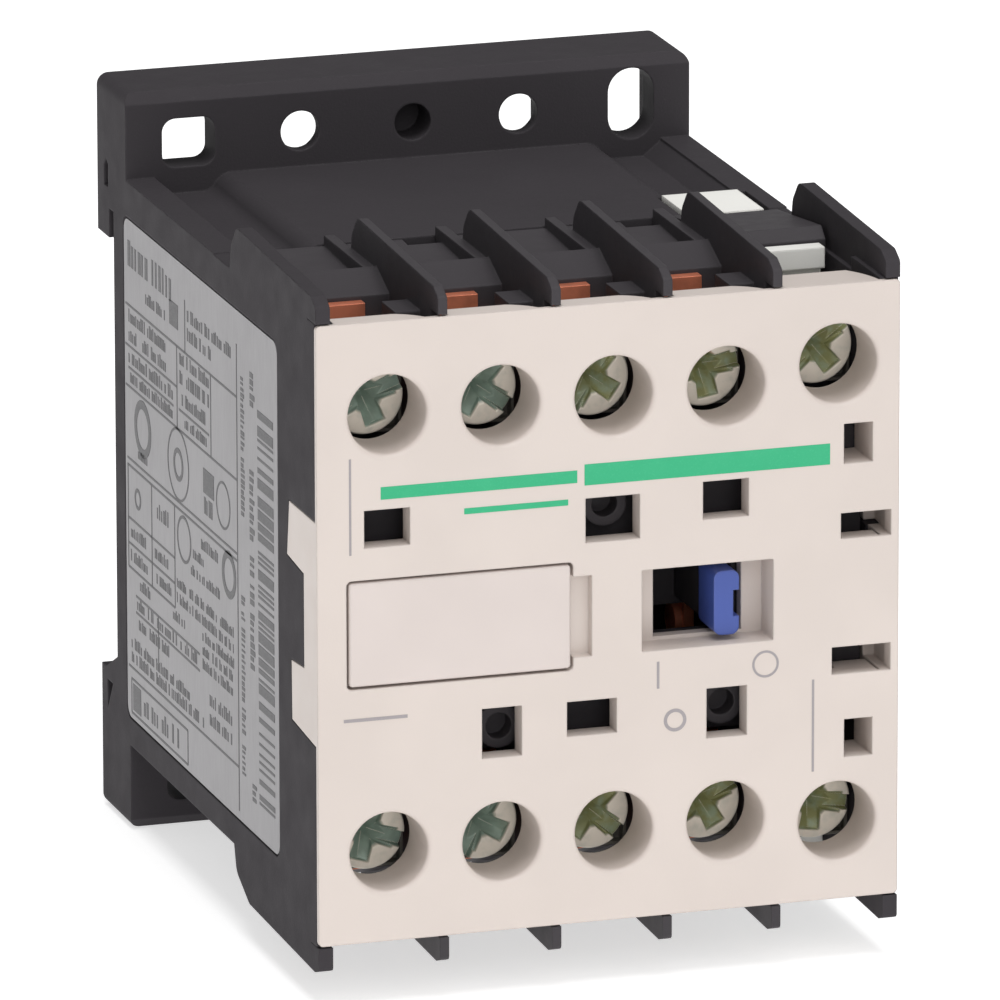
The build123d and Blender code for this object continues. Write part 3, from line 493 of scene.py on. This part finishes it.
def recess_depth(u, v, sizes):
    """Depth below the flats at (u, v) on a screw head: the deepest of three cuts.

    The slot is level and runs right across along u. The cross has four V-shaped arms that widen and
    rise outwards and end in a wall, deepest at the centre. A blunt cone clears the middle.
    """
    radius = np.hypot(u, v)
    slot = SLOT_DEPTH * smooth_step(sizes.slot_half - np.abs(v), -WALL_BLUR, WALL_BLUR)
    along = np.maximum(np.abs(u), np.abs(v))
    across = np.minimum(np.abs(u), np.abs(v))
    half = ARM_HALF + ARM_FLARE * (along / HEAD_R) ** 2
    arm = (ARM_DEPTH - ARM_SLOPE * along) * (1 - 0.5 * across / half)
    arm = arm * smooth_step(half - across, -WALL_BLUR, WALL_BLUR)
    arm = arm * smooth_step(sizes.cross_reach - along, -WALL_BLUR, WALL_BLUR)
    cone = CONE_DEPTH * np.clip(1 - radius / CONE_R, 0, 1)
    return np.maximum(np.maximum(slot, arm), cone)


def screw_shape(x, z, turn, sizes):
    """Closed skin of one screw, ring by ring from the middle of the head to the end of the shank.

    Head: polar rings whose y is the front plane plus the recess depth, rounded to the rim. Shank:
    radius SHANK_R less the thread depth times a triangle wave of y / pitch + angle / one turn, drawn
    in by a quarter at the end.
    """
    angle = np.linspace(0, 2 * math.pi, ROUND_STEPS, endpoint=False)
    radius = np.linspace(0.02, 1, HEAD_RINGS)[:, None] * HEAD_R
    u = radius * np.cos(angle - turn)
    v = radius * np.sin(angle - turn)
    into_edge = np.clip(radius - (HEAD_R - HEAD_EDGE), 0, HEAD_EDGE)
    rim = HEAD_EDGE - np.sqrt(HEAD_EDGE ** 2 - into_edge ** 2)
    depth = SCREW_FRONT + np.maximum(rim, recess_depth(u, v, sizes))
    head = np.stack([radius * np.cos(angle), depth, radius * np.sin(angle)], -1)
    under = [(HEAD_R, HEAD_REAR - HEAD_CHAMFER), (HEAD_R - HEAD_CHAMFER, HEAD_REAR),
             (SHANK_R, HEAD_REAR)]
    rear = [(r * np.cos(angle), np.full_like(angle, y), r * np.sin(angle)) for r, y in under]
    run = np.linspace(HEAD_REAR + 0.1 * MM, SHANK_END, SHANK_RINGS)[:, None]
    wave = np.abs(2 * ((run / sizes.thread_pitch + angle / (2 * math.pi)) % 1) - 1)
    lead = smooth_step(SHANK_END - run, 0, LEAD_IN)
    round_r = (SHANK_R - sizes.thread_depth * wave) * (0.75 + 0.25 * lead)
    shank = np.stack([round_r * np.cos(angle), np.broadcast_to(run, round_r.shape),
                      round_r * np.sin(angle)], -1)
    rings = np.concatenate([head, np.stack(rear).transpose(0, 2, 1), shank])
    return closed_skin(rings + np.array([x, 0, z]))


def closed_skin(rings):
    """Faces between each ring and the next, and a fan to the middle of the first and last rings."""
    rows, steps, _ = rings.shape
    index = np.arange(rows * steps).reshape(rows, steps)
    after = np.roll(index, -1, axis=1)
    walls = np.stack([index[:-1], after[:-1], after[1:], index[1:]], -1).reshape(-1, 4)
    fans = [np.stack([np.full(steps, rows * steps + end), index[row], after[row]], -1)
            for end, row in enumerate((0, rows - 1))]
    points = np.concatenate([rings.reshape(-1, 3), rings[[0, -1]].mean(axis=1)])
    return points, walls.tolist() + np.concatenate(fans).tolist()


# ---------------------------------------------------------------------------
# rows of strokes
# ---------------------------------------------------------------------------

STROKE_PITCH = 0.46    # from one stroke to the next, as a share of the row's height
GAP_SHARE = 0.16       # share of the strokes left out as word gaps


def strokes(rng, start, level, run, height):
    """Row of short upright strokes in word-like groups: (u0, u1, v0, v1), heights and gaps at random."""
    pitch = STROKE_PITCH * height
    count = max(2, int(run / pitch))
    left = start + pitch * np.arange(count)
    kept = rng.random(count) > GAP_SHARE
    rise = height * rng.choice([0.7, 0.85, 1.0], count)
    width = pitch * rng.choice([0.42, 0.6, 0.75], count)
    rows = np.column_stack([left, left + width, np.full(count, level), level + rise])
    return rows[kept]


# ---------------------------------------------------------------------------
# operators
# ---------------------------------------------------------------------------

class CONTACTOR_OT_housings(bpy.types.Operator):
    """Finish the dark mouldings: base, contact housing, dividing plate, carrier and rail latch."""

    bl_idname = "contactor.housings"
    bl_label = "Dark mouldings"

    def execute(self, context):
        colours, sizes = context.scene.contactor_colours, context.scene.contactor_sizes
        finish(black_polyamide(colours, sizes), "base_housing", "din_latch")
        finish(dark_polyamide(colours, sizes), "contact_housing", "dividing_plate", "contact_carrier")
        return {"FINISHED"}


class CONTACTOR_OT_cover(bpy.types.Operator):
    """Finish the cream cover, its marker plate, the white bobbin, the blue indicator and the label."""

    bl_idname = "contactor.cover"
    bl_label = "Light mouldings"

    def execute(self, context):
        colours, sizes = context.scene.contactor_colours, context.scene.contactor_sizes
        finish(cream_polycarbonate(colours, sizes), "front_cover")
        finish(marker_polycarbonate(colours, sizes), "marker_plate")
        finish(white_polyester(colours, sizes), "coil_bobbin")
        finish(blue_acetal(colours, sizes), "indicator_tab")
        finish(label_foil(colours, sizes), "side_label")
        return {"FINISHED"}


class CONTACTOR_OT_metals(bpy.types.Operator):
    """Finish the clamps, copper strips, springs, magnet and winding."""

    bl_idname = "contactor.metals"
    bl_label = "Metal parts"

    def execute(self, context):
        colours, sizes = context.scene.contactor_colours, context.scene.contactor_sizes
        # the clamps get the zinc darkened as painted shade
        finish(passivated_zinc(colours, sizes, False), *[n for n in NODES if n.startswith("wire_clamp")])
        copper = metal("rolled_copper_strip", colours.copper, colours.tarnish, 2, sizes.brush_pitch,
                       sizes.metal_edge_radius, 0.4, 0.4, 0.5)
        finish(copper, *[n for n in NODES if n.startswith(("fixed_contact", "contact_bridge"))])
        tinned = metal("tinned_brass_strip", colours.silver, colours.steel, 2, sizes.brush_pitch,
                       sizes.metal_edge_radius, 0.3)
        finish(tinned, "coil_terminal_top", "coil_terminal_bottom")
        wire = metal("drawn_spring_steel", colours.steel, colours.housing_wear_and_highlight, 0, sizes.brush_pitch,
                     sizes.metal_edge_radius, 0.28, 0.3)
        finish(wire, "armature_pin", *[n for n in NODES if "spring" in n])
        stack = banded("laminated_electrical_steel", colours.steel, colours.housing, "Y",
                       sizes.lamination, 0.4, 1.0)
        finish(stack, "magnet_core", "armature")
        turns = banded("enamelled_copper_winding", colours.enamel, colours.tarnish, "X",
                       sizes.wire_pitch, 0.3, 0.7)
        finish(turns, "coil_winding")
        return {"FINISHED"}


class CONTACTOR_OT_screws(bpy.types.Operator):
    """Build the ten terminal screws with their recesses and threads."""

    bl_idname = "contactor.screws"
    bl_label = "Terminal screws"

    def execute(self, context):
        colours, sizes = context.scene.contactor_colours, context.scene.contactor_sizes
        plated = passivated_zinc(colours, sizes, True)
        for row, turns in TURNS.items():
            for number, turn in enumerate(turns, start=1):
                low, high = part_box(f"terminal_screw_{row}_{number}")
                shape = screw_shape((low.x + high.x) / 2, (low.z + high.z) / 2, math.radians(turn), sizes)
                made = piece(f"screw_with_cross_slot_{row}_{number}", shape, f"screw_{row}_{number}",
                             plated, SCREW_CREASE)
                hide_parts(f"terminal_screw_{row}_{number}")
        return {"FINISHED"}


class CONTACTOR_OT_cover_marks(bpy.types.Operator):
    """Print the green stripes, the position marks and plain grey bars on the cover."""

    bl_idname = "contactor.cover_marks"
    bl_label = "Cover marks"

    def execute(self, context):
        colours, sizes = context.scene.contactor_colours, context.scene.contactor_sizes
        origin = (0, COVER_LOW.y, 0)
        ink = sizes.ink_thickness
        stripes = bars(np.array([(-1.94, 17.1, 9.5, 11.1), (-17.6, -2.5, 9.75, 10.7),
                                 (-11.2, -3.2, 8.1, 8.55)]) * MM, ink)
        piece("green_stripes", lay(stripes, origin, **FRONT), "housing",
              printed_ink("pad_printed_green_ink", colours.stripe_ink, 0.4))
        grey = printed_ink("pad_printed_grey_ink", colours.mark_ink, 0.45)
        rows = np.array([(3.66, 3.86, -6.52, -4.45), (-20.5, -15.6, -7.0, -6.75),
                         (-20.02, -19.85, 5.7, 13.0), (15.75, 15.93, -14.0, -6.9)])
        marks = join([bars(rows * MM, ink), ring(12.12 * MM, -5.37 * MM, 0.86 * MM, 1.04 * MM, ink),
                      ring(5.08 * MM, -9.05 * MM, 0.62 * MM, 0.88 * MM, ink)])
        piece("cover_marks", lay(marks, origin, **FRONT), "housing", grey)
        return {"FINISHED"}


class CONTACTOR_OT_label_print(bpy.types.Operator):
    """Print ruled cells, rows of short strokes, rings and a stripe code on the rating label."""

    bl_idname = "contactor.label_print"
    bl_label = "Label print"

    def execute(self, context):
        colours, sizes = context.scene.contactor_colours, context.scene.contactor_sizes
        rng = np.random.default_rng(sizes.seed)
        origin = (LABEL_LOW.x, LABEL_HIGH.y, LABEL_HIGH.z)
        shape = join([label_rules(sizes), label_rows(rng, sizes), label_code(rng, sizes), label_rings(sizes)])
        piece("label_print", lay(shape, origin, **SIDE), "housing",
              printed_ink("thermal_transfer_ink", colours.label_ink, 0.4))
        return {"FINISHED"}


# places on the label, in millimetres from its top rear corner
RULE_HALF = 0.09              # half the width of a ruled line
CODE_EDGES = (35.0, 39.0)     # the stripe code's left and right edges
CODE_RUN = (5.7, 37.0)        # and how far down it runs


def label_rules(sizes):
    """Ruled lines of the label's cells: level ones (from, to, down), then upright ones (right, from, to)."""
    across = [(0.3, 29.7, 6.7), (0.2, 14.0, 9.9), (0.2, 29.7, 13.1), (0.5, 29.6, 18.8), (0.5, 29.6, 19.35),
              (0.6, 13.1, 23.5), (0.6, 13.1, 25.5), (0.6, 13.0, 27.4), (2.5, 19.5, 29.3), (2.5, 19.5, 30.6),
              (0.4, 29.7, 35.3), (1.1, 16.2, 36.2), (1.1, 16.2, 38.9), (14.5, 22.4, 11.5), (1.0, 13.0, 11.6)]
    down = [(16.2, 2.6, 6.7), (29.7, 2.6, 38.7), (14.0, 6.7, 13.1), (22.9, 6.7, 13.1), (6.95, 19.35, 27.4),
            (13.1, 19.35, 27.4), (0.6, 19.35, 27.4), (1.1, 36.2, 38.9), (16.2, 36.2, 38.9), (8.5, 29.3, 33.0)]
    rows = [(a, b, -t - RULE_HALF, -t + RULE_HALF) for a, b, t in across]
    rows += [(s - RULE_HALF, s + RULE_HALF, -b, -a) for s, a, b in down]
    return bars(np.array(rows) * MM, sizes.ink_thickness)


def label_rows(rng, sizes):
    """Rows of strokes as (start, top, run, size), level rows first and upright columns after."""
    level = [(1.0, 3.6, 12.8, 2.0), (5.7, 5.5, 6.0, 0.9), (16.8, 4.1, 12.0, 1.0), (16.8, 5.6, 7.2, 1.0),
             (1.1, 8.0, 10.4, 1.0), (1.1, 9.5, 10.3, 1.0), (1.0, 11.2, 12.2, 1.0), (1.0, 12.7, 12.2, 0.9),
             (14.7, 7.9, 7.9, 1.0), (14.7, 9.4, 7.9, 1.0), (14.8, 11.0, 7.3, 1.0), (16.0, 12.6, 6.0, 0.8),
             (21.0, 17.9, 2.6, 1.3), (3.4, 18.2, 2.8, 0.8), (8.4, 21.6, 3.8, 1.2), (20.1, 20.9, 4.6, 0.9),
             (1.3, 24.9, 4.4, 0.9), (7.7, 24.9, 4.3, 0.9), (1.2, 26.8, 4.6, 0.9), (7.7, 26.8, 4.6, 0.9),
             (17.6, 22.2, 3.6, 0.8), (17.4, 23.6, 8.0, 0.8), (13.6, 25.6, 15.4, 0.8), (13.6, 26.8, 15.2, 0.8),
             (3.6, 28.6, 3.0, 0.9), (12.5, 28.4, 3.6, 0.8), (2.8, 30.3, 16.2, 0.9), (2.8, 31.8, 9.4, 0.9),
             (20.3, 28.0, 8.8, 0.8), (20.3, 29.1, 8.8, 0.8), (20.3, 30.2, 8.6, 0.8), (1.2, 33.7, 15.8, 0.9),
             (1.2, 34.8, 19.5, 0.9), (22.1, 32.6, 6.2, 1.0), (22.1, 34.1, 6.0, 1.0), (4.4, 38.3, 11.0, 1.5)]
    upright = [(31.6, 4.4, 11.2, 0.9), (31.5, 21.7, 14.8, 0.9), (34.3, 3.3, 4.4, 1.2),
               (34.1, 11.4, 15.6, 1.2), (34.3, 35.6, 1.8, 1.1)]
    groups = [strokes(rng, a, -t, run, size) for a, t, run, size in level]
    for s, t, run, size in upright:
        turned = strokes(rng, t, s - size, run, size)
        groups.append(np.column_stack([turned[:, 2], turned[:, 3], -turned[:, 1], -turned[:, 0]]))
    blocks = np.array([(12.1, 14.4, -5.4, -3.5), (20.8, 23.6, -16.3, -14.4), (1.5, 3.6, -38.6, -36.5)])
    return bars(np.concatenate(groups + [blocks]) * MM, sizes.ink_thickness)


def label_code(rng, sizes):
    """Stripe code down the front edge: clear and dark runs of one to four modules in turn."""
    module = sizes.bar_module / MM
    first, last = CODE_RUN
    runs = module * rng.choice([1, 1, 2, 3, 4], int((last - first) / module))
    ends = first + np.cumsum(runs)
    dark = ends[:len(ends) // 2 * 2].reshape(-1, 2)
    dark = dark[dark[:, 1] < last]
    left, right = (np.full(len(dark), edge) for edge in CODE_EDGES)
    rows = np.column_stack([left, right, -dark[:, 1], -dark[:, 0]])
    return bars(rows * MM, sizes.ink_thickness)


def label_rings(sizes):
    """Plain rings where a label carries its round stamps: (centre, depth, inner, outer)."""
    stamps = [(4.7, 15.6, 1.55, 2.25), (14.2, 15.9, 2.65, 2.85), (14.2, 15.9, 0.9, 1.3),
              (26.0, 16.0, 1.65, 1.85), (15.6, 21.4, 1.6, 1.85), (27.4, 21.0, 1.25, 1.85),
              (3.2, 21.5, 0.55, 0.85)]
    return join([ring(s * MM, -t * MM, a * MM, b * MM, sizes.ink_thickness) for s, t, a, b in stamps])


CAMERA_TURNS = (17.601, 15.418, -0.124)    # degrees: to the left, above and about its own axis
CAMERA_SHIFT = (0.0077, 0.0100)
SENSOR = 36
WORLD_STRENGTH = 0.3
BOX_SIZE = 0.8
SOFT_BOXES = (("front_box", (-0.2, -1.4, 0.45), 3.5), ("high_box", (0.1, -1.1, 1.0), 3.4),
              ("left_box", (-1.2, -0.35, 0.3), 0.8), ("top_box", (0.0, -0.3, 1.4), 12.5))


class CONTACTOR_OT_stage(bpy.types.Operator):
    """Set the floor sheet, the soft studio light and the camera."""

    bl_idname = "contactor.stage"
    bl_label = "Studio"

    def execute(self, context):
        colours, sizes = context.scene.contactor_colours, context.scene.contactor_sizes
        place_camera(context, sizes)
        place_floor(context, colours, sizes)
        place_lights(context)
        return {"FINISHED"}


def place_camera(context, sizes):
    """Long lens camera to the left of and above the object's middle, turned a hair about its axis."""
    yaw, pitch, roll = (math.radians(a) for a in CAMERA_TURNS)
    aim = Vector((0, (CAD_BOX[0].y + CAD_BOX[1].y) / 2, 0))
    forward = Vector((math.sin(yaw) * math.cos(pitch), math.cos(yaw) * math.cos(pitch), -math.sin(pitch)))
    level = forward.cross(Vector((0, 0, 1))).normalized()
    upright = level.cross(forward)
    right = math.cos(roll) * level + math.sin(roll) * upright
    up = -math.sin(roll) * level + math.cos(roll) * upright
    data = bpy.data.cameras.new("camera")
    data.lens = sizes.lens
    data.sensor_width = SENSOR
    data.shift_x, data.shift_y = CAMERA_SHIFT
    data.clip_start, data.clip_end = 0.05, 10
    camera = bpy.data.objects.new("camera", data)
    turn = Matrix((right, up, -forward)).transposed()
    camera.matrix_world = Matrix.Translation(aim - forward * sizes.camera_distance) @ turn.to_4x4()
    context.scene.collection.objects.link(camera)
    context.scene.camera = camera


def place_floor(context, colours, sizes):
    """Flat floor sheet just under the object, with nothing upright on it that would hide any side."""
    half = sizes.floor_size / 2
    level = CAD_BOX[0].z - 0.02 * MM
    points = [(-half, -half, level), (half, -half, level), (half, half, level), (-half, half, level)]
    mesh = bpy.data.meshes.new("floor")
    mesh.from_pydata(points, [], [(0, 1, 2, 3)])
    mesh.materials.append(studio_paper(colours))
    floor = bpy.data.objects.new("floor", mesh)
    context.scene.collection.objects.link(floor)


def place_lights(context):
    """Weak white surroundings and four soft boxes: in front, high in front, at the left and overhead."""
    world = bpy.data.worlds.new("studio")
    world.use_nodes = True
    background = world.node_tree.nodes["Background"].inputs
    background["Color"].default_value = (1, 1, 1, 1)
    background["Strength"].default_value = WORLD_STRENGTH
    context.scene.world = world
    for name, place, watts in SOFT_BOXES:
        data = bpy.data.lights.new(name, "AREA")
        data.size = BOX_SIZE
        data.energy = watts
        light = bpy.data.objects.new(name, data)
        light.location = place
        light.rotation_mode = "QUATERNION"
        light.rotation_quaternion = Vector(place).to_track_quat("Z", "Y")
        context.scene.collection.objects.link(light)
    context.scene.view_settings.view_transform = "Standard"


class CONTACTOR_PT_panel(bpy.types.Panel):
    """Sidebar panel with the settings and one button for each step."""

    bl_idname = "CONTACTOR_PT_panel"
    bl_label = "Din rail contactor"
    bl_space_type = "VIEW_3D"
    bl_region_type = "UI"
    bl_category = "Contactor"

    def draw(self, context):
        for step in STEPS:
            self.layout.operator(step.bl_idname)


STEPS = (CONTACTOR_OT_stage, CONTACTOR_OT_housings, CONTACTOR_OT_cover, CONTACTOR_OT_metals,
         CONTACTOR_OT_screws, CONTACTOR_OT_cover_marks, CONTACTOR_OT_label_print)
CLASSES = (ContactorColours, ContactorSizes, *STEPS, CONTACTOR_PT_panel)


def register():
    for item in CLASSES:
        bpy.utils.register_class(item)
    bpy.types.Scene.contactor_colours = PointerProperty(type=ContactorColours)
    bpy.types.Scene.contactor_sizes = PointerProperty(type=ContactorSizes)


def unregister():
    del bpy.types.Scene.contactor_sizes
    del bpy.types.Scene.contactor_colours
    for item in reversed(CLASSES):
        bpy.utils.unregister_class(item)


def main():
    """Runs every step in order."""
    register()
    for step in STEPS:
        group, name = step.bl_idname.split(".")
        getattr(getattr(bpy.ops, group), name)()


if __name__ == "__main__":
    main()
